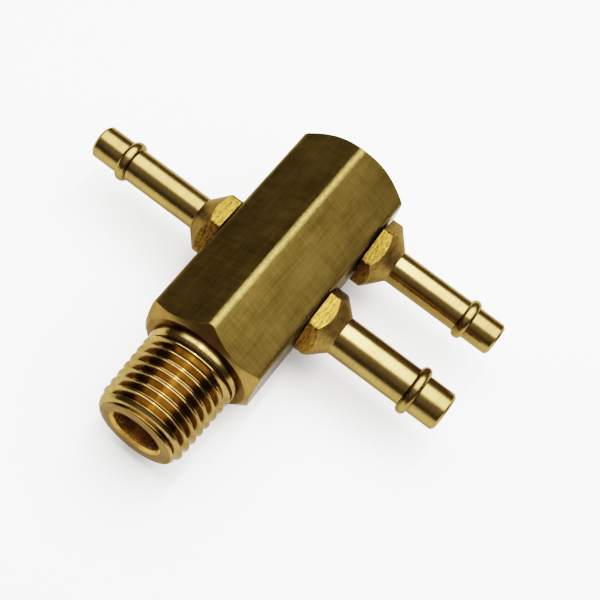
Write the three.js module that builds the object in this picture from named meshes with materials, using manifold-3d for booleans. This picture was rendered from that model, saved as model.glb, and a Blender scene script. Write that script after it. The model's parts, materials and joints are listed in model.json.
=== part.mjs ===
// Brass hose manifold, in millimetres: a hexagon bar body with a male taper pipe thread, and three
// hose tails that are screwed into its sides with a film of cured thread sealant round each spigot.
// The origin is where the body's axis crosses the shoulder behind the thread. +X runs along the
// body away from the thread, +Y towards the single tail, and +Z is up when the part lies flat.
import * as THREE from "three";
import { mergeVertices } from "three/addons/utils/BufferGeometryUtils.js";
import Module from "manifold-3d";

const wasm = await Module();
wasm.setup();

// Body: 11/16 inch hexagon bar, turned at both ends.
const bodyAcrossFlats = 17.4625;
const bodyLength = 37.7;
const bodyCornerRadius = 1.15;
const shoulderFaceRadius = 8.15;
const farFaceRadius = 8.7;
const endChamferRise = 0.8; // length of an end's chamfer for each millimetre of its radius

// Male thread: 1/4-18 taper pipe thread, with the last turns running out before the shoulder.
const threadLength = 12.9;
const threadPitch = 25.4 / 18;
const threadCrestRadius = 6.63; // at the open end
const threadTaper = 1 / 32; // growth of the radius for each millimetre towards the shoulder
const threadCrestFlat = 0.12;
const threadRootFlat = 0.08;
const threadFlankRun = (threadPitch - threadCrestFlat - threadRootFlat) / 2;
const threadDepth = threadFlankRun / Math.tan(Math.PI / 6);
const threadFadeStart = -3;
const threadFadeEnd = -0.8;
const grooveOffset = -0.216; // where the middle of a groove crosses the +Y side
const turnsBeforeShoulder = 11;
const turnsPastShoulder = 3; // two of them inside the body, and one given up to the spiral caps
const noseRadius = 5.9;
const noseChamferSlope = 0.53; // growth of the radius for each millimetre of length

// Waterway: a blind hole from the thread end, with a countersunk mouth and a drill point.
const boreRadius = 3.75;
const boreEnd = 32.8;
const boreMouthRadius = 4.15;
const drillPointSlope = Math.tan(THREE.MathUtils.degToRad(31));

// Screwed joints: the spigot of each tail, its sealant film and the tapped port.
const spigotRadius = 3.45;
const spigotLength = 4.5;
const sealantInnerRadius = 3.55;
const sealantOuterRadius = 3.85;
const sealantStart = 0.5;
const sealantEnd = 4.1;
const portRadius = 3.95;
const portMouthRadius = 4.3;

// Hose tails: 3/8 inch hexagon, cone, plain tube, one rounded bead and a chamfered tip.
const tailAcrossFlats = 9.5;
const tailCornerRadius = 0.55;
const tailHexHeight = 1.56; // at the hexagon's sharp corners
const tailConeEnd = 4.24;
const tailBaseChamfer = 0.22;
const beadCentre = 16.88;
const beadHalfWidth = 0.83;
const tailLength = 22.14;
const tipChamfer = 0.4;
const tipBoreChamfer = 0.25;

const smallTail = { tubeRadius: 2.555, beadRadius: 3.185, boreRadius: 1.6 };
const largeTail = { tubeRadius: 3.03, beadRadius: 3.85, boreRadius: 2.1 };
// Each tail's place along the body, the side it points to along Y, the turn of its hexagon, and the
// gap left under the hexagon, because a taper thread seats before the hexagon meets the body.
const tails = [
  { name: "single", x: 18.46, side: 1, hexTurn: 25.8, standoff: 0.07, size: smallTail },
  { name: "near", x: 16.22, side: -1, hexTurn: 40.5, standoff: 0.1, size: largeTail },
  { name: "far", x: 30.48, side: -1, hexTurn: 54.6, standoff: 0.24, size: smallTail },
];

const roundSegments = 40;
const tailSegments = 32;
const threadSegments = 28; // for each turn
const cornerSegments = 3;
const beadSegments = 6;
const overrun = 1; // how far a cutting tool passes the face that it cuts

const brass = { color: 0x8f7434, roughness: 0.3, metalness: 1 };
const sealant = { color: 0x3c6b4a, roughness: 0.6, metalness: 0 };

// A closed geometry as a solid that can be joined and cut.
function toSolid(geometry) {
  const bare = geometry.clone();
  bare.deleteAttribute("normal");
  bare.deleteAttribute("uv");
  const merged = mergeVertices(bare, 1e-4);
  return new wasm.Manifold(
    new wasm.Mesh({
      numProp: 3,
      vertProperties: merged.attributes.position.array,
      triVerts: new Uint32Array(merged.index.array),
    }),
  );
}

function toMesh(solid, name, look) {
  const { vertProperties, triVerts } = solid.getMesh();
  const geometry = new THREE.BufferGeometry()
    .setAttribute("position", new THREE.BufferAttribute(vertProperties, 3))
    .setIndex(new THREE.BufferAttribute(triVerts, 1));
  geometry.computeVertexNormals();
  const mesh = new THREE.Mesh(geometry, new THREE.MeshStandardMaterial(look));
  mesh.name = name;
  return mesh;
}

// A solid of revolution round Y, from [radius, height] pairs that go up the outside.
function turned(profile, segments) {
  const points = profile.map(([radius, height]) => new THREE.Vector2(radius, height));
  return new THREE.LatheGeometry(points, segments);
}

// The same, round X.
function turnedAlongX(profile, segments) {
  return turned(profile, segments).rotateZ(-Math.PI / 2);
}

// A hexagon with rounded corners and one flat facing +X of the drawing plane.
function hexagonShape(acrossFlats, cornerRadius) {
  const cornerDistance = (acrossFlats / 2 - cornerRadius) / Math.cos(Math.PI / 6);
  const shape = new THREE.Shape();
  for (let corner = 0; corner < 6; corner++) {
    const angle = Math.PI / 6 + (corner * Math.PI) / 3;
    shape.absarc(
      cornerDistance * Math.cos(angle),
      cornerDistance * Math.sin(angle),
      cornerRadius,
      angle - Math.PI / 6,
      angle + Math.PI / 6,
      false,
    );
  }
  return shape;
}

function hexagonPrism(acrossFlats, cornerRadius, length) {
  return new THREE.ExtrudeGeometry(hexagonShape(acrossFlats, cornerRadius), {
    depth: length,
    bevelEnabled: false,
    curveSegments: cornerSegments,
  });
}

function crestRadiusAt(x) {
  return threadCrestRadius + (x + threadLength) * threadTaper;
}

function grooveDepthAt(x) {
  const share = (threadFadeEnd - x) / (threadFadeEnd - threadFadeStart);
  return threadDepth * THREE.MathUtils.clamp(share, 0, 1);
}

// A right-hand threaded rod along X. Its grid follows the helix, with two rows of vertices along
// the crest and two along the root, and each end is a spiral cap that the turned shape cuts off.
function helicalRod(start, turns) {
  const crestStart = threadRootFlat + threadFlankRun;
  const rows = [
    { offset: 0, deep: true },
    { offset: threadRootFlat, deep: true },
    { offset: crestStart, deep: false },
    { offset: crestStart + threadCrestFlat, deep: false },
  ];
  const steps = turns * threadSegments;
  const positions = [];
  for (let step = 0; step <= steps; step++) {
    const turn = step / threadSegments;
    for (const { offset, deep } of rows) {
      const x = start + turn * threadPitch + offset;
      const radius = crestRadiusAt(x) - (deep ? grooveDepthAt(x) : 0);
      const angle = turn * 2 * Math.PI;
      positions.push(x, radius * Math.cos(angle), radius * Math.sin(angle));
    }
  }
  const vertex = (step, row) =>
    row < rows.length ? step * rows.length + row : (step + threadSegments) * rows.length;
  const faces = [];
  const lastStep = steps - threadSegments;
  for (let step = 0; step < lastStep; step++) {
    for (let row = 0; row < rows.length; row++) {
      const a = vertex(step, row);
      const b = vertex(step, row + 1);
      const c = vertex(step + 1, row + 1);
      const d = vertex(step + 1, row);
      faces.push(a, c, b, a, d, c);
    }
  }
  // Each cap joins the last edge, one turn long and closed by a step one pitch deep, to the axis.
  const capLoop = (first) => {
    const loop = [];
    for (let step = 0; step <= threadSegments; step++) loop.push(vertex(first + step, 0));
    for (let row = rows.length - 1; row > 0; row--) loop.push(vertex(first, row));
    return loop;
  };
  const addCap = (loop, x, reversed) => {
    const centre = positions.length / 3;
    positions.push(x, 0, 0);
    loop.forEach((from, i) => {
      const to = loop[(i + 1) % loop.length];
      faces.push(centre, ...(reversed ? [to, from] : [from, to]));
    });
  };
  addCap(capLoop(0), start, true);
  addCap(capLoop(lastStep), start + (turns - 1) * threadPitch, false);
  const rod = new THREE.BufferGeometry();
  rod.setAttribute("position", new THREE.Float32BufferAttribute(positions, 3));
  rod.setIndex(faces);
  return toSolid(rod);
}

// The rod with its nose chamfered. It starts about two turns before the nose, and it runs on into
// the body.
function maleThread() {
  const rodStart = grooveOffset - threadRootFlat / 2 - turnsBeforeShoulder * threadPitch;
  const clearOfCrest = bodyAcrossFlats / 2;
  const envelope = turnedAlongX(
    [
      [0, -threadLength],
      [noseRadius, -threadLength],
      [clearOfCrest, (clearOfCrest - noseRadius) / noseChamferSlope - threadLength],
      [clearOfCrest, overrun],
      [0, overrun],
    ],
    roundSegments,
  );
  return helicalRod(rodStart, turnsBeforeShoulder + turnsPastShoulder).intersect(toSolid(envelope));
}

function hexagonBody() {
  const reach = bodyAcrossFlats;
  const chamferLength = (faceRadius) => (reach - faceRadius) * endChamferRise;
  const bar = hexagonPrism(bodyAcrossFlats, bodyCornerRadius, bodyLength + 2 * overrun);
  bar.rotateZ(Math.PI / 2).translate(0, 0, -overrun).rotateY(Math.PI / 2);
  const envelope = turnedAlongX(
    [
      [0, 0],
      [shoulderFaceRadius, 0],
      [reach, chamferLength(shoulderFaceRadius)],
      [reach, bodyLength - chamferLength(farFaceRadius)],
      [farFaceRadius, bodyLength],
      [0, bodyLength],
    ],
    roundSegments,
  );
  return toSolid(bar).intersect(toSolid(envelope));
}

function waterway() {
  const mouthDepth = boreMouthRadius - boreRadius;
  return toSolid(
    turnedAlongX(
      [
        [0, -threadLength - overrun],
        [boreMouthRadius + overrun, -threadLength - overrun],
        [boreRadius, mouthDepth - threadLength],
        [boreRadius, boreEnd],
        [0, boreEnd + boreRadius * drillPointSlope],
      ],
      roundSegments,
    ),
  );
}

// A geometry made along +Y from the body's flat, carried to a tail's own place.
function placeAtTail(geometry, tail) {
  if (tail.side < 0) geometry.rotateX(Math.PI);
  return geometry.translate(tail.x, (tail.side * bodyAcrossFlats) / 2, 0);
}

function tappedPort(tail) {
  const mouthDepth = portMouthRadius - portRadius;
  const cut = turned(
    [
      [0, -bodyAcrossFlats / 2],
      [portRadius, -bodyAcrossFlats / 2],
      [portRadius, -mouthDepth],
      [portMouthRadius + overrun, overrun],
      [0, overrun],
    ],
    tailSegments,
  );
  return toSolid(placeAtTail(cut, tail));
}

function manifoldBody() {
  const cuts = [waterway(), ...tails.map(tappedPort)];
  return cuts.reduce((body, cut) => body.subtract(cut), hexagonBody().add(maleThread()));
}

function tubeProfile({ tubeRadius, beadRadius }) {
  const bead = [];
  for (let step = 0; step <= beadSegments; step++) {
    const angle = (step / beadSegments) * Math.PI;
    bead.push([
      tubeRadius + (beadRadius - tubeRadius) * Math.sin(angle),
      beadCentre - beadHalfWidth * Math.cos(angle),
    ]);
  }
  return [
    [0, -spigotLength],
    [spigotRadius - tipChamfer, -spigotLength],
    [spigotRadius, tipChamfer - spigotLength],
    [spigotRadius, -tipChamfer],
    [spigotRadius - tipChamfer, 0],
    [spigotRadius - tipChamfer, overrun],
    [tubeRadius, overrun + tipChamfer],
    ...bead,
    [tubeRadius, tailLength - tipChamfer],
    [tubeRadius - tipChamfer, tailLength],
    [0, tailLength],
  ];
}

// The hexagon and the cone that carries it down to the tube.
function tailHexagon({ tubeRadius }) {
  const sharpCorner = tailAcrossFlats / 2 / Math.cos(Math.PI / 6);
  const prism = hexagonPrism(tailAcrossFlats, tailCornerRadius, tailConeEnd);
  prism.rotateX(-Math.PI / 2);
  const envelope = turned(
    [
      [0, 0],
      [sharpCorner - 2 * tailBaseChamfer, 0],
      [sharpCorner, tailBaseChamfer],
      [sharpCorner, tailHexHeight],
      [tubeRadius, tailConeEnd],
      [0, tailConeEnd],
    ],
    tailSegments,
  );
  return toSolid(prism).intersect(toSolid(envelope));
}

function tailWaterway({ boreRadius: radius }) {
  const mouth = radius + tipBoreChamfer + overrun;
  return toSolid(
    turned(
      [
        [0, -spigotLength - overrun],
        [radius, -spigotLength - overrun],
        [radius, tailLength - tipBoreChamfer],
        [mouth, tailLength + overrun],
        [0, tailLength + overrun],
      ],
      tailSegments,
    ),
  );
}

function hoseTail({ name, x, side, hexTurn, standoff, size }) {
  const solid = toSolid(turned(tubeProfile(size), tailSegments))
    .add(tailHexagon(size))
    .subtract(tailWaterway(size));
  const mesh = toMesh(solid, `hose_tail_${name}`, brass);
  mesh.position.set(x, side * (bodyAcrossFlats / 2 + standoff), 0);
  mesh.rotation.set(side > 0 ? 0 : Math.PI, -side * THREE.MathUtils.degToRad(hexTurn), 0);
  return mesh;
}

function sealantFilm(tail) {
  const ring = turned(
    [
      [sealantInnerRadius, -sealantEnd],
      [sealantOuterRadius, -sealantEnd],
      [sealantOuterRadius, -sealantStart],
      [sealantInnerRadius, -sealantStart],
      [sealantInnerRadius, -sealantEnd],
    ],
    tailSegments,
  );
  return toMesh(toSolid(placeAtTail(ring, tail)), `thread_sealant_${tail.name}`, sealant);
}

const manifold = new THREE.Group();
manifold.add(toMesh(manifoldBody(), "manifold_body", brass));
for (const tail of tails) manifold.add(hoseTail(tail), sealantFilm(tail));

export default manifold;
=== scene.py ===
import json
import math

import bmesh
import bpy
from mathutils import Matrix, Vector

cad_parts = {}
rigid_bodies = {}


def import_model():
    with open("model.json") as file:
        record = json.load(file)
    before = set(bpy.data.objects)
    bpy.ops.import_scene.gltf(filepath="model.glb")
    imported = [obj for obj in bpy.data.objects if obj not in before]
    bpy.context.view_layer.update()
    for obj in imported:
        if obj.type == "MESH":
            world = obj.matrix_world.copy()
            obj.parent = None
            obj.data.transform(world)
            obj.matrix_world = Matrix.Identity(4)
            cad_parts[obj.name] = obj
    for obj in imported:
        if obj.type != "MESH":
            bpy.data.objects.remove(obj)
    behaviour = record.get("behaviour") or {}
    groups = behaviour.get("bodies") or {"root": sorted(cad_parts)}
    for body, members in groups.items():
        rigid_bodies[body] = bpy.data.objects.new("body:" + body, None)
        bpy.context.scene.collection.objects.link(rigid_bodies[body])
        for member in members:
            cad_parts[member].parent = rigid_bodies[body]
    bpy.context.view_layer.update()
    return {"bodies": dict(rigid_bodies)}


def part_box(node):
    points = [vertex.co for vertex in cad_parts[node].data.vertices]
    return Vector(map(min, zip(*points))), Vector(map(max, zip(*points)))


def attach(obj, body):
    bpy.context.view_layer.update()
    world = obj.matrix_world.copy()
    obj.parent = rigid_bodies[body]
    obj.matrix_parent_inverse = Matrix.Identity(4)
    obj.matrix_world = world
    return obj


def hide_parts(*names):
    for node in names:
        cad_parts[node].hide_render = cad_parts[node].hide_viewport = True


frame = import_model()
mm = 0.001  # the scene is in metres, and the sizes below are in millimetres
weldDistance = 0.0005  # closes the seams of a turned grid
noiseSpan = (0.36, 0.64)  # most of what a noise texture gives lies between these


# Adds a node with its settings. An input is a value, a node or a socket to link from.
def addNode(tree, kind, inputs=(), **settings):
    node = tree.nodes.new(kind)
    for name, value in settings.items():
        setattr(node, name, value)
    for key, value in inputs.items() if isinstance(inputs, dict) else enumerate(inputs):
        if isinstance(value, bpy.types.Node):
            tree.links.new(value.outputs[0], node.inputs[key])
        elif isinstance(value, bpy.types.NodeSocket):
            tree.links.new(value, node.inputs[key])
        elif value is not None:
            node.inputs[key].default_value = value
    return node


# sRGB hex to the linear colour that a node works in.
def colour(hexCode):
    channels = [int(hexCode[i:i + 2], 16) / 255 for i in (1, 3, 5)]
    linear = [c / 12.92 if c <= 0.04045 else ((c + 0.055) / 1.055) ** 2.4 for c in channels]
    return (*linear, 1.0)


# Features for each millimetre along X, Y and Z, as a scale for Object coordinates in metres.
def perMillimetre(x, y, z):
    return (x / mm, y / mm, z / mm)


# A new geometry tree with its named inputs. It returns the tree and the group input's sockets.
def newGeometryTree(name, inputs):
    tree = bpy.data.node_groups.new(name, "GeometryNodeTree")
    tree.interface.new_socket("Geometry", in_out="OUTPUT", socket_type="NodeSocketGeometry")
    tree.interface.new_socket("Geometry", in_out="INPUT", socket_type="NodeSocketGeometry")
    for label, (kind, value) in inputs.items():
        socket = tree.interface.new_socket(label, in_out="INPUT", socket_type="NodeSocket" + kind)
        if value is not None:
            socket.default_value = value
    return tree, addNode(tree, "NodeGroupInput").outputs


# Grid of columns by profile points: where each vertex is in it, and the profile's value there.
def addSampledGrid(tree, profile, columns):
    size = addNode(tree, "GeometryNodeAttributeDomainSize", [profile])
    rows = size.outputs["Point Count"]
    grid = addNode(tree, "GeometryNodeMeshGrid", {"Vertices X": columns, "Vertices Y": rows})
    index = addNode(tree, "GeometryNodeInputIndex")
    column = addNode(tree, "FunctionNodeIntegerMath", [index, rows], operation="DIVIDE_FLOOR")
    row = addNode(tree, "FunctionNodeIntegerMath", [index, rows], operation="MODULO")
    place = addNode(tree, "GeometryNodeInputPosition")
    sample = addNode(
        tree, "GeometryNodeSampleIndex", {"Geometry": profile, "Value": place, "Index": row},
        data_type="FLOAT_VECTOR",
    )
    return grid, column, row, addNode(tree, "ShaderNodeSeparateXYZ", [sample])


# Moves the grid to radius, angle and height round Z, welds its seams and gives it its material.
def endTurnedTree(tree, grid, radius, angle, height, material):
    cosine = addNode(tree, "ShaderNodeMath", [angle], operation="COSINE")
    sine = addNode(tree, "ShaderNodeMath", [angle], operation="SINE")
    x = addNode(tree, "ShaderNodeMath", [radius, cosine], operation="MULTIPLY")
    y = addNode(tree, "ShaderNodeMath", [radius, sine], operation="MULTIPLY")
    place = addNode(tree, "ShaderNodeCombineXYZ", [x, y, height])
    moved = addNode(tree, "GeometryNodeSetPosition", {"Geometry": grid, "Position": place})
    welded = addNode(tree, "GeometryNodeMergeByDistance", {"Geometry": moved, "Distance": weldDistance})
    smooth = addNode(tree, "GeometryNodeSetShadeSmooth", [welded])
    plain = addNode(tree, "GeometryNodeRealizeInstances", [smooth])
    dressed = addNode(tree, "GeometryNodeSetMaterial", {"Geometry": plain, "Material": material})
    addNode(tree, "NodeGroupOutput", [dressed])


# Hexagon bar turned in a lathe. The input geometry is half of the section, as a line: X is the
# radius and Z the height. A point's "follow" adds the bar's own radius to its radius, and its
# "lean" adds that radius times lean to its height, so that edges run where cone meets flat.
def makeHexTurningTree():
    tree, given = newGeometryTree("hexTurning", {
        "Across flats": ("Float", 10.0),
        "Corner radius": ("Float", 0.5),
        "Turn": ("Float", 0.0),
        "Flat steps": ("Int", 20),
        "Corner steps": ("Int", 4),
        "Material": ("Material", None),
    })
    flatSteps, cornerSteps = given["Flat steps"], given["Corner steps"]
    sideSteps = addNode(tree, "FunctionNodeIntegerMath", [flatSteps, cornerSteps], operation="ADD")
    columns = addNode(tree, "FunctionNodeIntegerMath", [sideSteps, 6, 1], operation="MULTIPLY_ADD")
    grid, column, row, point = addSampledGrid(tree, given["Geometry"], columns)
    side = addNode(tree, "FunctionNodeIntegerMath", [column, sideSteps], operation="DIVIDE_FLOOR")
    step = addNode(tree, "FunctionNodeIntegerMath", [column, sideSteps], operation="MODULO")

    # Angle from the middle of the side: evenly over the flat, then evenly over the corner.
    apothem = addNode(tree, "ShaderNodeMath", [given["Across flats"], 2.0], operation="DIVIDE")
    inner = addNode(tree, "ShaderNodeMath", [apothem, given["Corner radius"]], operation="SUBTRACT")
    halfFlat = addNode(tree, "ShaderNodeMath", [inner, math.tan(math.pi / 6)], operation="MULTIPLY")
    flatAngle = addNode(tree, "ShaderNodeMath", [halfFlat, apothem], operation="ARCTAN2")
    minusFlat = addNode(tree, "ShaderNodeMath", [flatAngle, -1.0], operation="MULTIPLY")
    cornerEnd = addNode(tree, "ShaderNodeMath", [math.pi / 3, flatAngle], operation="SUBTRACT")
    onFlat = addNode(tree, "ShaderNodeMapRange", [step, 0.0, flatSteps, minusFlat, flatAngle])
    onCorner = addNode(tree, "ShaderNodeMapRange", [step, flatSteps, sideSteps, flatAngle, cornerEnd])
    atCorner = addNode(tree, "ShaderNodeMath", [step, flatSteps], operation="GREATER_THAN")
    offMiddle = addNode(tree, "GeometryNodeSwitch", {0: atCorner, 1: onFlat, 2: onCorner},
                        input_type="FLOAT")

    # Radius of the bar there: a flat, or an arc about the centre of the rounded corner.
    cosine = addNode(tree, "ShaderNodeMath", [offMiddle], operation="COSINE")
    flatRadius = addNode(tree, "ShaderNodeMath", [apothem, cosine], operation="DIVIDE")
    arcCentre = addNode(tree, "ShaderNodeMath", [inner, math.cos(math.pi / 6)], operation="DIVIDE")
    offCorner = addNode(tree, "ShaderNodeMath", [offMiddle, math.pi / 6], operation="SUBTRACT")
    cornerCosine = addNode(tree, "ShaderNodeMath", [offCorner], operation="COSINE")
    cornerSine = addNode(tree, "ShaderNodeMath", [offCorner], operation="SINE")
    near = addNode(tree, "ShaderNodeMath", [arcCentre, cornerCosine], operation="MULTIPLY")
    across = addNode(tree, "ShaderNodeMath", [arcCentre, cornerSine], operation="MULTIPLY")
    acrossSquared = addNode(tree, "ShaderNodeMath", [across, 2.0], operation="POWER")
    radiusSquared = addNode(tree, "ShaderNodeMath", [given["Corner radius"], 2.0], operation="POWER")
    rest = addNode(tree, "ShaderNodeMath", [radiusSquared, acrossSquared], operation="SUBTRACT")
    reach = addNode(tree, "ShaderNodeMath", [rest], operation="SQRT")
    cornerRadius = addNode(tree, "ShaderNodeMath", [near, reach], operation="ADD")
    barRadius = addNode(tree, "GeometryNodeSwitch", {0: atCorner, 1: flatRadius, 2: cornerRadius},
                        input_type="FLOAT")

    sampled = {}
    for label in ("follow", "lean"):
        stored = addNode(tree, "GeometryNodeInputNamedAttribute", [label], data_type="FLOAT")
        sampled[label] = addNode(
            tree, "GeometryNodeSampleIndex",
            {"Geometry": given["Geometry"], "Value": stored, "Index": row}, data_type="FLOAT",
        )
    radius = addNode(tree, "ShaderNodeMath", [sampled["follow"], barRadius, point.outputs["X"]],
                     operation="MULTIPLY_ADD")
    height = addNode(tree, "ShaderNodeMath", [sampled["lean"], barRadius, point.outputs["Z"]],
                     operation="MULTIPLY_ADD")
    sideAngle = addNode(tree, "ShaderNodeMath", [side, math.pi / 3, offMiddle],
                        operation="MULTIPLY_ADD")
    angle = addNode(tree, "ShaderNodeMath", [sideAngle, given["Turn"]], operation="ADD")
    endTurnedTree(tree, grid, radius, angle, height, given["Material"])
    return tree


# Taper thread. The input geometry is one pitch of the thread form, as a line: Z runs along the
# axis and X is the share of the full depth. Each column of the grid is that line, a step further
# round the helix, and the depth fades out where the die stops.
def makeHelicalThreadTree():
    tree, given = newGeometryTree("helicalThread", {
        "Pitch": ("Float", 1.4),
        "Depth": ("Float", 0.9),
        "Crest radius": ("Float", 6.6),
        "Taper": ("Float", 1 / 32),
        "Start": ("Float", -16.0),
        "Turns": ("Int", 14),
        "Steps each turn": ("Int", 96),
        "Fade start": ("Float", -3.0),
        "Fade end": ("Float", -0.8),
        "Material": ("Material", None),
    })
    stepCount = given["Steps each turn"]
    columns = addNode(tree, "FunctionNodeIntegerMath", [given["Turns"], stepCount, 1],
                      operation="MULTIPLY_ADD")
    grid, column, _, point = addSampledGrid(tree, given["Geometry"], columns)
    turn = addNode(tree, "ShaderNodeMath", [column, stepCount], operation="DIVIDE")
    angle = addNode(tree, "ShaderNodeMath", [turn, 2 * math.pi], operation="MULTIPLY")
    base = addNode(tree, "ShaderNodeMath", [turn, given["Pitch"], given["Start"]],
                   operation="MULTIPLY_ADD")
    height = addNode(tree, "ShaderNodeMath", [base, point.outputs["Z"]], operation="ADD")
    crest = addNode(tree, "ShaderNodeMath", [height, given["Taper"], given["Crest radius"]],
                    operation="MULTIPLY_ADD")
    fullDepth = addNode(tree, "ShaderNodeMapRange",
                        [height, given["Fade start"], given["Fade end"], given["Depth"], 0.0])
    depth = addNode(tree, "ShaderNodeMath", [fullDepth, point.outputs["X"]], operation="MULTIPLY")
    radius = addNode(tree, "ShaderNodeMath", [crest, depth], operation="SUBTRACT")
    endTurnedTree(tree, grid, radius, angle, height, given["Material"])
    return tree


# One point of a section. A rounding above 0 turns the corner at that point into an arc.
def station(radius, height, rounding=0.0, follow=0.0, lean=0.0):
    return Vector((radius, height, follow, lean)), rounding


# The points of a section with its corners rounded, for a bar about as thick as barRadius.
def roundCorners(stations, barRadius, steps=4):
    def drawn(point):
        return Vector((point[0] + point[2] * barRadius, point[1] + point[3] * barRadius))

    points = [stations[0][0]]
    for (before, _), (corner, rounding), (after, _) in zip(stations, stations[1:], stations[2:]):
        if rounding == 0:
            points.append(corner)
            continue
        arms = [drawn(end) - drawn(corner) for end in (before, after)]
        setback = rounding / math.tan(arms[0].angle(arms[1]) / 2)
        start, end = [
            corner.lerp(far, min(0.49, setback / arm.length)) for far, arm in zip((before, after), arms)
        ]
        for step in range(steps + 1):
            share = step / steps
            points.append(start.lerp(corner, share).lerp(corner.lerp(end, share), share))
    return points + [stations[-1][0]]


# A line of section points as a mesh, with the attributes that the lathe tree reads.
def sectionMesh(name, points):
    mesh = bpy.data.meshes.new(name)
    edges = [(i, i + 1) for i in range(len(points) - 1)]
    mesh.from_pydata([(p[0], 0, p[1]) for p in points], edges, [])
    for label, part in (("follow", 2), ("lean", 3)):
        values = mesh.attributes.new(label, "FLOAT", "POINT").data
        for value, point in zip(values, points):
            value.value = point[part]
    return mesh


# Runs a geometry tree on a mesh and returns the result as a plain mesh.
def grow(name, mesh, tree, values):
    piece = bpy.data.objects.new(name, mesh)
    bpy.context.scene.collection.objects.link(piece)
    modifier = piece.modifiers.new(tree.name, "NODES")
    modifier.node_group = tree
    for item in tree.interface.items_tree:
        if item.in_out == "INPUT" and item.name in values:
            modifier[item.identifier] = values[item.name]
    return bakeModifiers(piece)


# The evaluated mesh of an object, which is then removed with its modifiers.
def bakeModifiers(piece):
    evaluated = piece.evaluated_get(bpy.context.evaluated_depsgraph_get())
    baked = bpy.data.meshes.new_from_object(evaluated)
    bpy.data.objects.remove(piece)
    return baked


# Closes open ends and turns every face outwards.
def closeMesh(mesh):
    work = bmesh.new()
    work.from_mesh(mesh)
    openEdges = [edge for edge in work.edges if edge.is_boundary]
    if openEdges:
        caps = bmesh.ops.holes_fill(work, edges=openEdges)["faces"]
        bmesh.ops.triangulate(work, faces=caps)
    bmesh.ops.recalc_face_normals(work, faces=work.faces)
    work.to_mesh(mesh)
    work.free()
    return mesh


# Joins, cuts or intersects a mesh with others, one after another.
def combine(mesh, tools):
    piece = bpy.data.objects.new("combined", mesh)
    bpy.context.scene.collection.objects.link(piece)
    helpers = []
    for operation, tool in tools:
        helper = bpy.data.objects.new("tool", tool)
        bpy.context.scene.collection.objects.link(helper)
        helpers.append(helper)
        modifier = piece.modifiers.new(operation, "BOOLEAN")
        modifier.operation = operation
        modifier.solver = "MANIFOLD"
        modifier.object = helper
    bpy.context.view_layer.update()
    result = bakeModifiers(piece)
    for helper in helpers:
        bpy.data.objects.remove(helper)
    return result


hexTurning = makeHexTurningTree()
helicalThread = makeHelicalThreadTree()
barAlongX = Matrix(((0, 0, 1, 0), (1, 0, 0, 0), (0, 1, 0, 0), (0, 0, 0, 1)))


# A closed mesh from a section turned round Z. It needs no hexagon when no point follows the bar.
def turn(name, stations, acrossFlats=10.0, cornerRadius=0.5, turned=0.0, steps=(20, 4), finish=None):
    section = sectionMesh(name, roundCorners(stations, acrossFlats / 2))
    return closeMesh(grow(name, section, hexTurning, {
        "Across flats": acrossFlats,
        "Corner radius": cornerRadius,
        "Turn": turned,
        "Flat steps": steps[0],
        "Corner steps": steps[1],
        "Material": finish,
    }))


# A new material: its tree, its shader and the Object coordinates.
def newMaterial(name, **shaderInputs):
    material = bpy.data.materials.new(name)
    material.use_nodes = True
    tree = material.node_tree
    shader = tree.nodes["Principled BSDF"]
    for label, value in shaderInputs.items():
        shader.inputs[label].default_value = value
    coordinates = addNode(tree, "ShaderNodeTexCoord").outputs["Object"]
    return material, tree, shader, coordinates


# Brass under a thin oxide, which keeps its edges from turning white at a low angle. The hexes of
# the brass finishes are darker than clean brass, to suit strong lamps and a contrasty view.
def newBrass(name):
    return newMaterial(name, **{"Metallic": 1.0, "Specular Tint": colour("#c2bfba")})


# Noise on coordinates stretched by features for each millimetre.
def addGrain(tree, coordinates, density, detail=3.0, roughness=0.5):
    stretched = addNode(tree, "ShaderNodeVectorMath", [coordinates, perMillimetre(*density)],
                        operation="MULTIPLY")
    return addNode(tree, "ShaderNodeTexNoise",
                   {"Vector": stretched, "Scale": 1.0, "Detail": detail, "Roughness": roughness})


# The mean of two textures.
def average(tree, first, second):
    total = addNode(tree, "ShaderNodeMath", [first, second], operation="ADD")
    return addNode(tree, "ShaderNodeMath", [total, 0.5], operation="MULTIPLY")


# Links the colour, the roughness and the bump layers of a finish to its shader. A layer is a
# height texture and its depth in millimetres.
def dress(tree, shader, tone, dark, light, dull, roughnessRange, layers):
    share = addNode(tree, "ShaderNodeMapRange", [tone, *noiseSpan, 0.0, 1.0])
    shade = addNode(tree, "ShaderNodeMix", {0: share, 6: colour(dark), 7: colour(light)},
                    data_type="RGBA")
    tree.links.new(shade.outputs[2], shader.inputs["Base Color"])
    rough = addNode(tree, "ShaderNodeMapRange", [dull, *noiseSpan, *roughnessRange])
    tree.links.new(rough.outputs[0], shader.inputs["Roughness"])
    normal = None
    for height, depth in layers:
        normal = addNode(tree, "ShaderNodeBump",
                         {"Strength": 1.0, "Distance": depth * mm, "Height": height, "Normal": normal})
    tree.links.new(normal.outputs[0], shader.inputs["Normal"])


# Cold-drawn brass bar: dull olive gold, with die lines along it and the rubbed strokes of handling
# across it, which show together as a faint weave. Real ones are much finer. They are drawn about
# 0.35 mm apart, because finer ones don't show.
def makeDrawnBrass():
    material, tree, shader, coordinates = newBrass("drawnBrassBar")
    patina = addGrain(tree, coordinates, (0.1, 0.15, 0.15), detail=5.0, roughness=0.6)
    strokes = addGrain(tree, coordinates, (3.0, 0.25, 0.25), detail=3.0, roughness=0.7)
    dieLines = addGrain(tree, coordinates, (0.12, 2.8, 2.8), detail=3.0, roughness=0.7)
    weave = average(tree, strokes, dieLines)
    tone = average(tree, patina, weave)
    dress(tree, shader, tone, "#403519", "#584a29", weave, (0.28, 0.35),
          [(strokes, 0.007), (dieLines, 0.007)])
    return material


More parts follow.
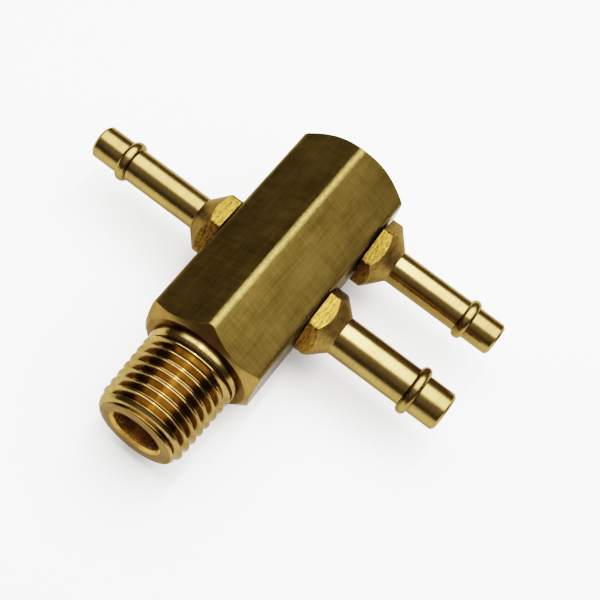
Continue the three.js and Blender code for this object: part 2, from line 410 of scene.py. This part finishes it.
# How far each point is along the X axis and away from it, which is where a lathe tool passed.
def addLatheCoordinates(tree, coordinates):
    place = addNode(tree, "ShaderNodeSeparateXYZ", [coordinates])
    across = addNode(tree, "ShaderNodeVectorMath", [coordinates, (0, 1, 1)], operation="MULTIPLY")
    radius = addNode(tree, "ShaderNodeVectorMath", [across], operation="LENGTH").outputs["Value"]
    return addNode(tree, "ShaderNodeCombineXYZ", [place, radius]).outputs[0]


# Brass as a tool leaves it: the given marks for each millimetre, clouds of oxide and a fine grain.
# Real feed marks are finer, and are drawn this coarse because they don't show otherwise.
def makeTurnedBrass(name, ringDensity, ringDepth, roughnessRange, dark, light, faced=False):
    material, tree, shader, coordinates = newBrass(name)
    toolPath = addLatheCoordinates(tree, coordinates) if faced else coordinates
    rings = addGrain(tree, toolPath, ringDensity, detail=3.0, roughness=0.7)
    patina = addGrain(tree, coordinates, (0.3, 0.3, 0.3), detail=5.0, roughness=0.6)
    grain = addGrain(tree, coordinates, (6.0, 6.0, 6.0), detail=3.0)
    dress(tree, shader, average(tree, patina, rings), dark, light, grain, roughnessRange,
          [(rings, ringDepth), (grain, ringDepth / 3)])
    return material


# Brass torn by a drill: short bright granules, half a millimetre long, in a dark reddish hole.
def makeDrilledBrass():
    material, tree, shader, coordinates = newBrass("drilledBrass")
    patina = addGrain(tree, coordinates, (0.3, 0.3, 0.3), detail=3.0)
    granules = addGrain(tree, coordinates, (1.6, 2.2, 2.2), detail=4.0, roughness=0.7)
    rings = addGrain(tree, coordinates, (6.0, 0.4, 0.4), detail=2.0)
    dress(tree, shader, patina, "#8f6c38", "#bd9656", granules, (0.25, 0.45),
          [(granules, 0.22), (rings, 0.03)])
    return material


# Flats of the tails' hexagons, left rough by a coarse cut: gold, with torn streaks 0.3 mm wide and
# crumbs between them.
def makeStockBrass():
    material, tree, shader, coordinates = newBrass("sawnBrassFlats")
    streaks = addGrain(tree, coordinates, (0.7, 3.2, 0.7), detail=3.0, roughness=0.7)
    crumbs = addGrain(tree, coordinates, (2.0, 3.5, 2.0), detail=3.0, roughness=0.7)
    tone = average(tree, streaks, crumbs)
    dress(tree, shader, tone, "#33240e", "#80642f", crumbs, (0.25, 0.5),
          [(streaks, 0.15), (crumbs, 0.04)])
    return material


# Cured anaerobic thread sealant: a dull green plastic film with small wrinkles.
def makeCuredSealant():
    material, tree, shader, coordinates = newMaterial("curedThreadSealant", Metallic=0.0, IOR=1.5)
    clouds = addGrain(tree, coordinates, (0.8, 0.8, 0.8), detail=3.0)
    wrinkles = addGrain(tree, coordinates, (3.0, 1.0, 3.0), detail=3.0)
    dress(tree, shader, clouds, "#2f5a3c", "#4a7c58", wrinkles, (0.45, 0.65), [(wrinkles, 0.03)])
    return material


# Pale matte board under the part, with a faint paper tooth.
def makePaleBoard():
    material, tree, shader, coordinates = newMaterial("paleMatteBoard", Metallic=0.0)
    clouds = addGrain(tree, coordinates, (0.02, 0.02, 0.02), detail=2.0)
    tooth = addGrain(tree, coordinates, (3.0, 3.0, 3.0), detail=2.0)
    dress(tree, shader, clouds, "#f2f1ee", "#f7f6f4", tooth, (0.75, 0.85), [(tooth, 0.01)])
    return material


drawnBrass = makeDrawnBrass()

# Corners of the bar, rubbed smooth in handling: a soft, even line of light.
rubbedBrass = makeTurnedBrass("rubbedBrassEdges", (2.5, 2.5, 2.5), 0.03, (0.32, 0.42),
                              "#40361d", "#605231")

# Ends and shoulder cones of the bar, faced on a lathe: satin, with rings round the axis.
turnedBrass = makeTurnedBrass("turnedBrassBody", (2.5, 2.5, 1.0), 0.012, (0.28, 0.4),
                              "#4d3c20", "#6f5a34", faced=True)

# Thread cut by a die: the glossiest part of the body, clean in its grooves.
threadBrass = makeTurnedBrass("dieCutBrassThread", (1.6, 1.2, 1.2), 0.004, (0.2, 0.23),
                              "#5b4a2c", "#7f6a43")

# Tubes and beads of the tails, turned and polished: smooth bands of light along them.
tailBrass = makeTurnedBrass("polishedBrassTail", (0.5, 3.0, 0.5), 0.001, (0.24, 0.26),
                            "#625030", "#72603a")

# Cones of the tails, where the tool chattered: dull and a little mottled.
coneBrass = makeTurnedBrass("chatteredBrassCone", (1.2, 2.0, 1.2), 0.03, (0.36, 0.5),
                            "#4c3d20", "#705c36")

drilledBrass = makeDrilledBrass()
stockBrass = makeStockBrass()
curedSealant = makeCuredSealant()
print("finishes made")


sharpAngle = 32  # degrees between faces, from which an edge stays crisp


# Scales a mesh from millimetres to metres, smooths it and hands it to the frame.
def finishPiece(name, mesh, node):
    mesh.transform(Matrix.Scale(mm, 4))
    mesh.polygons.foreach_set("use_smooth", [True] * len(mesh.polygons))
    mesh.set_sharp_from_angle(angle=math.radians(sharpAngle))
    piece = bpy.data.objects.new(name, mesh)
    bpy.context.scene.collection.objects.link(piece)
    weighted = piece.modifiers.new("even shading", "WEIGHTED_NORMAL")
    weighted.keep_sharp = True
    baked = bakeModifiers(piece)
    baked.name = name
    piece = bpy.data.objects.new(name, baked)
    bpy.context.scene.collection.objects.link(piece)
    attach(piece, frameBody)
    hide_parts(node)
    return piece


# Gives each face the finish that its place calls for.
def paintFaces(mesh, finishes, choose):
    mesh.materials.clear()
    for finish in finishes:
        mesh.materials.append(finish)
    for face in mesh.polygons:
        face.material_index = finishes.index(choose(face.center, face.normal))


# How a face is told from its neighbours when its finish is chosen.
faceTest = {
    "slack": 0.1,  # millimetres off a surface that still count as on it
    "skin": 0.01,  # the same inside a port, right under a flat
    "across": 0.05,  # most that the normal of a lengthwise face leans along the axis
    "along": 0.6,  # least that the normal of a cone or an end leans along it
    "square": 0.95,  # least that the normal of an end leans along it
    "flatTurn": 3,  # degrees from a flat that still count as flat
}

frameBody = next(iter(frame["bodies"]))
bodyLow, bodyHigh = [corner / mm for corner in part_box("manifold_body")]

hexBar = {
    "cornerRadius": 1.15,
    "shoulderFaceRadius": 8.15,
    "farFaceRadius": 8.7,
    "chamferRise": 0.8,  # length of an end's chamfer for each millimetre of its radius
    "edgeRounding": 0.12,
    "faceRounding": 0.05,
    "steps": (26, 8),
}
hexBar["length"] = bodyHigh.x
hexBar["acrossFlats"] = bodyHigh.y - bodyLow.y

pipeThread = {
    "length": -bodyLow.x,
    "pitch": 25.4 / 18,
    "noseCrestRadius": 6.63,
    "taper": 1 / 32,
    "crestFlat": 0.12,
    "rootFlat": 0.08,
    "edgeRounding": 0.02,
    "grooveOffset": -0.216,  # where the middle of a groove crosses the +Y side
    "fadeStart": -3.0,
    "fadeEnd": -0.8,
    "noseRadius": 5.9,
    "noseSlope": 0.53,
    "noseRounding": 0.1,
    "rootInBar": 0.8,  # how far the threaded rod reaches into the bar
    "turnsToShoulder": 11,
    "turns": 15,
    "stepsEachTurn": 96,
    "envelopeSteps": (30, 2),
}

waterway = {
    "radius": 3.75,
    "mouthRadius": 4.15,
    "end": 32.8,
    "drillPoint": math.tan(math.radians(31)),
    "portRadius": 3.95,
    "portMouthRadius": 4.3,
    "mouthRounding": 0.1,
    "overrun": 1.0,  # how far a cutting tool reaches past a surface
    "boreSteps": (20, 2),
    "portSteps": (14, 2),
}

hoseTail = {
    "acrossFlats": 9.5,
    "cornerRadius": 0.55,
    "hexHeight": 1.56,  # at the hexagon's sharp corners
    "coneEnd": 4.24,
    "beadCentre": 16.88,
    "beadHalfWidth": 0.83,
    "beadSteps": 16,
    "length": 22.14,
    "tipChamfer": 0.4,
    "tipBoreChamfer": 0.25,
    "spigotRadius": 3.45,
    "spigotLength": 4.5,
    "edgeRounding": 0.07,
    "boreRounding": 0.03,
    "faceRounding": 0.06,
    "tipRounding": 0.08,
    "coneRounding": 0.15,
    "steps": (24, 6),
}
smallTube = {"tubeRadius": 2.555, "beadRadius": 3.185, "boreRadius": 1.6}
largeTube = {"tubeRadius": 3.03, "beadRadius": 3.85, "boreRadius": 2.1}
tails = {
    "single": {"hexTurn": 25.8, "tube": smallTube},
    "near": {"hexTurn": 40.5, "tube": largeTube},
    "far": {"hexTurn": 54.6, "tube": smallTube},
}
for name, tail in tails.items():
    low, high = [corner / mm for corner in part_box(f"hose_tail_{name}")]
    tail["side"] = 1 if high.y + low.y > 0 else -1
    tail["tip"] = max(abs(low.y), abs(high.y))
    tail["x"] = (low.x + high.x) / 2


# Carries a mesh made along +Z to a place on one side of the body, pointing out along Y.
def placeAtSide(mesh, x, distance, side):
    axes = Matrix(((1, 0, 0), (0, 0, side), (0, -side, 0))).to_4x4()
    mesh.transform(Matrix.Translation((x, side * distance, 0)) @ axes)
    return mesh


# One pitch of the thread: root, flank, crest and flank, with small roundings.
def threadForm():
    pitch, crest, root = pipeThread["pitch"], pipeThread["crestFlat"], pipeThread["rootFlat"]
    flank = (pitch - crest - root) / 2
    pipeThread["depth"] = flank / math.tan(math.pi / 6)
    rounding = pipeThread["edgeRounding"]
    depth = pipeThread["depth"]
    line = roundCorners([
        station(depth, 0),
        station(depth, root, rounding),
        station(0, root + flank, rounding),
        station(0, root + flank + crest, rounding),
        station(depth, root + 2 * flank + crest),
    ], 0)
    return sectionMesh("threadForm", [Vector((p[0] / depth, p[1], 0, 0)) for p in line])


def makeInletThread():
    t = pipeThread
    form = threadForm()
    start = t["grooveOffset"] - t["rootFlat"] / 2 - t["turnsToShoulder"] * t["pitch"]
    rod = grow("rod", form, helicalThread, {
        "Pitch": t["pitch"],
        "Depth": t["depth"],
        "Crest radius": t["noseCrestRadius"] + t["length"] * t["taper"],
        "Taper": t["taper"],
        "Start": start,
        "Turns": t["turns"],
        "Steps each turn": t["stepsEachTurn"],
        "Fade start": t["fadeStart"],
        "Fade end": t["fadeEnd"],
        "Material": turnedBrass,
    })
    clear = hexBar["acrossFlats"] / 2
    envelope = turn("envelope", [
        station(0, -t["length"]),
        station(t["noseRadius"], -t["length"], t["noseRounding"]),
        station(clear, (clear - t["noseRadius"]) / t["noseSlope"] - t["length"]),
        station(clear, t["rootInBar"]),
        station(0, t["rootInBar"]),
    ], steps=t["envelopeSteps"])
    return combine(closeMesh(rod), [("INTERSECT", envelope)])


def makeManifoldBody():
    b, w, t = hexBar, waterway, pipeThread
    bar = turn("bar", [
        station(0, 0),
        station(b["shoulderFaceRadius"], 0, b["faceRounding"]),
        station(0, -b["chamferRise"] * b["shoulderFaceRadius"], b["edgeRounding"], 1, b["chamferRise"]),
        station(0, b["length"] + b["chamferRise"] * b["farFaceRadius"], b["edgeRounding"], 1,
                -b["chamferRise"]),
        station(b["farFaceRadius"], b["length"], b["faceRounding"]),
        station(0, b["length"]),
    ], b["acrossFlats"], b["cornerRadius"], 0.0, b["steps"], drawnBrass)
    mouthDepth = w["mouthRadius"] - w["radius"]
    bore = turn("bore", [
        station(0, -t["length"] - w["overrun"]),
        station(w["mouthRadius"] + w["overrun"], -t["length"] - w["overrun"]),
        station(w["radius"], mouthDepth - t["length"], w["mouthRounding"]),
        station(w["radius"], w["end"]),
        station(0, w["end"] + w["radius"] * w["drillPoint"]),
    ], steps=w["boreSteps"])
    for mesh in (bar, bore):
        mesh.transform(barAlongX)
    thread = makeInletThread()
    thread.transform(barAlongX)
    cuts = [("DIFFERENCE", bore)]
    for tail in tails.values():
        port = turn("port", [
            station(0, -b["acrossFlats"] / 2),
            station(w["portRadius"], -b["acrossFlats"] / 2),
            station(w["portRadius"], w["portRadius"] - w["portMouthRadius"]),
            station(w["portMouthRadius"] + w["overrun"], w["overrun"]),
            station(0, w["overrun"]),
        ], steps=w["portSteps"])
        cuts.append(("DIFFERENCE", placeAtSide(port, tail["x"], b["acrossFlats"] / 2, tail["side"])))
    body = combine(bar, [("UNION", thread)] + cuts)

    def chooseFinish(centre, normal):
        fromAxis = math.hypot(centre.y, centre.z)
        alongBore = -t["length"] < centre.x < b["length"] - faceTest["slack"]
        inBore = fromAxis < w["mouthRadius"] and alongBore
        inPort = any(
            math.hypot(centre.x - tail["x"], centre.z) < w["portMouthRadius"] + faceTest["slack"]
            and centre.y * tail["side"] > 0
            and abs(centre.y) < b["acrossFlats"] / 2 - faceTest["skin"]
            for tail in tails.values()
        )
        if (inBore or inPort) and normal.x > -faceTest["square"]:
            return drilledBrass
        if centre.x < 0 and fromAxis > t["noseRadius"] - 2 * faceTest["slack"]:
            return threadBrass
        insideFlats = fromAxis < b["acrossFlats"] / 2 - faceTest["slack"] / 2
        if insideFlats or abs(normal.x) > faceTest["along"]:
            return turnedBrass
        offFlat = math.degrees(math.atan2(normal.z, normal.y)) % 60
        alongBar = abs(normal.x) < faceTest["across"]
        onFlat = alongBar and min(offFlat, 60 - offFlat) < faceTest["flatTurn"]
        return drawnBrass if onFlat else rubbedBrass

    paintFaces(body, [drawnBrass, rubbedBrass, turnedBrass, threadBrass, drilledBrass], chooseFinish)
    return finishPiece("brass_manifold_body", body, "manifold_body")


def makeHoseTail(name, tail):
    h, tube = hoseTail, tail["tube"]
    sharpCorner = h["acrossFlats"] / 2 / math.cos(math.pi / 6)
    rise = (h["coneEnd"] - h["hexHeight"]) / (sharpCorner - tube["tubeRadius"])
    bead = []
    for step in range(h["beadSteps"] + 1):
        angle = math.pi * step / h["beadSteps"]
        bead.append(station(
            tube["tubeRadius"] + (tube["beadRadius"] - tube["tubeRadius"]) * math.sin(angle),
            h["beadCentre"] + h["beadHalfWidth"] * math.cos(angle),
        ))
    mesh = turn(name, [
        station(tube["boreRadius"], -h["spigotLength"]),
        station(tube["boreRadius"], h["length"] - h["tipBoreChamfer"]),
        station(tube["boreRadius"] + h["tipBoreChamfer"], h["length"], h["boreRounding"]),
        station(tube["tubeRadius"] - h["tipChamfer"], h["length"], h["faceRounding"]),
        station(tube["tubeRadius"], h["length"] - h["tipChamfer"], h["tipRounding"]),
        *bead,
        station(tube["tubeRadius"], h["coneEnd"], h["coneRounding"]),
        station(0, h["hexHeight"] + rise * sharpCorner, h["edgeRounding"], 1, -rise),
        station(0, 0, h["edgeRounding"], 1),
        station(h["spigotRadius"] - h["tipChamfer"], 0),
        station(h["spigotRadius"], -h["tipChamfer"]),
        station(h["spigotRadius"], h["tipChamfer"] - h["spigotLength"]),
        station(h["spigotRadius"] - h["tipChamfer"], -h["spigotLength"]),
        station(tube["boreRadius"], -h["spigotLength"]),
    ], h["acrossFlats"], h["cornerRadius"], -tail["side"] * math.radians(tail["hexTurn"]), h["steps"],
        tailBrass)
    placeAtSide(mesh, tail["x"], tail["tip"] - h["length"], tail["side"])

    def chooseFinish(centre, normal):
        fromAxis = math.hypot(centre.x - tail["x"], centre.z)
        along = centre.y * tail["side"] - tail["tip"] + h["length"]
        onHexagon = fromAxis > h["acrossFlats"] / 2 - faceTest["slack"] / 2
        if onHexagon and abs(normal.y) < faceTest["across"]:
            return stockBrass
        return tailBrass if along > h["coneEnd"] - faceTest["slack"] else coneBrass

    paintFaces(mesh, [tailBrass, coneBrass, stockBrass], chooseFinish)
    return finishPiece(f"brass_hose_tail_{name}", mesh, f"hose_tail_{name}")


sealantFilm = {
    "wall": 0.3,
    "edgeRounding": 0.08,
    "steps": (10, 2),
}


def makeSealant(name):
    film = sealantFilm
    low, high = [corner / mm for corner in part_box(f"thread_sealant_{name}")]
    tail = tails[name]
    outer = (high.x - low.x) / 2
    inner = outer - film["wall"]
    ends = sorted((abs(low.y), abs(high.y)))
    mesh = turn(name, [
        station(inner, 0),
        station(outer, 0, film["edgeRounding"]),
        station(outer, ends[1] - ends[0], film["edgeRounding"]),
        station(inner, ends[1] - ends[0], film["edgeRounding"]),
        station(inner, 0),
    ], steps=film["steps"], finish=curedSealant)
    placeAtSide(mesh, tail["x"], ends[0], tail["side"])
    return finishPiece(f"cured_sealant_{name}", mesh, f"thread_sealant_{name}")


makeManifoldBody()
print("manifold body made")
for name, tail in tails.items():
    makeHoseTail(name, tail)
    makeSealant(name)
print("hose tails and sealant made")


# Sizes and places in metres, power in watts. The lamps face straight down.
studio = {
    "floorSize": 2.4,
    "softbox": {"size": (0.34, 0.6), "place": (0.115, 0.0, 0.27), "power": 5.4},
    "wing": {"size": (0.34, 0.44), "place": (-0.26, 0.0, 0.26), "power": 0.15},
    "tube": {"size": (0.34, 0.009), "place": (0.115, 0.006, 0.265), "power": 0.85},
    # Brightness of the room by the height looked at: the sine of the angle above the horizon.
    "room": {-1.0: 0.2, -0.02: 0.2, 0.08: 0.16, 0.2: 0.21, 0.6: 0.31, 1.0: 0.2},
}


def makeFloor():
    half = studio["floorSize"] / 2
    low = bodyLow.z * mm
    corners = [(-half, -half, low), (half, -half, low), (half, half, low), (-half, half, low)]
    mesh = bpy.data.meshes.new("floor")
    mesh.from_pydata(corners, [], [(0, 1, 2, 3)])
    mesh.materials.append(makePaleBoard())
    floor = bpy.data.objects.new("floor", mesh)
    bpy.context.scene.collection.objects.link(floor)


def addAreaLight(name, size, place, power):
    light = bpy.data.lights.new(name, "AREA")
    light.shape = "RECTANGLE"
    light.size, light.size_y = size
    light.energy = power
    lamp = bpy.data.objects.new(name, light)
    lamp.location = place
    bpy.context.scene.collection.objects.link(lamp)


def makeWorld():
    world = bpy.data.worlds.new("studio")
    world.use_nodes = True
    tree = world.node_tree
    direction = addNode(tree, "ShaderNodeTexCoord").outputs["Generated"]
    height = addNode(tree, "ShaderNodeSeparateXYZ", [direction]).outputs["Z"]
    share = addNode(tree, "ShaderNodeMapRange", [height, -1.0, 1.0, 0.0, 1.0])
    ramp = addNode(tree, "ShaderNodeValToRGB", [share])
    stops = ramp.color_ramp.elements
    while len(stops) < len(studio["room"]):
        stops.new(0.5)
    for stop, (sine, brightness) in zip(stops, studio["room"].items()):
        stop.position = (sine + 1) / 2
        stop.color = (brightness, brightness, brightness, 1)
    background = tree.nodes["Background"]
    tree.links.new(ramp.outputs["Color"], background.inputs["Color"])
    bpy.context.scene.world = world


# Where the camera is, in millimetres, and the ways it looks and stands.
view = {
    "place": (-58.505, -20.185, 145.104),
    "forward": (0.459309, 0.088746, -0.883832),
    "up": (0.686707, 0.595663, 0.416677),
    "lens": 70.62,
    "clipStart": 0.005,
}


def makeCamera():
    camera = bpy.data.cameras.new("camera")
    camera.lens = view["lens"]
    camera.clip_start = view["clipStart"]
    back = -Vector(view["forward"]).normalized()
    right = Vector(view["up"]).cross(back).normalized()
    up = back.cross(right)
    holder = bpy.data.objects.new("camera", camera)
    holder.matrix_world = Matrix.Translation(Vector(view["place"]) * mm) @ Matrix(
        (right, up, back)).transposed().to_4x4()
    bpy.context.scene.collection.objects.link(holder)
    bpy.context.scene.camera = holder


makeFloor()
for name in ("softbox", "wing", "tube"):
    addAreaLight(name, **studio[name])
makeWorld()
makeCamera()
bpy.context.scene.view_settings.view_transform = "Filmic"
bpy.context.scene.view_settings.look = "High Contrast"
print("studio made")
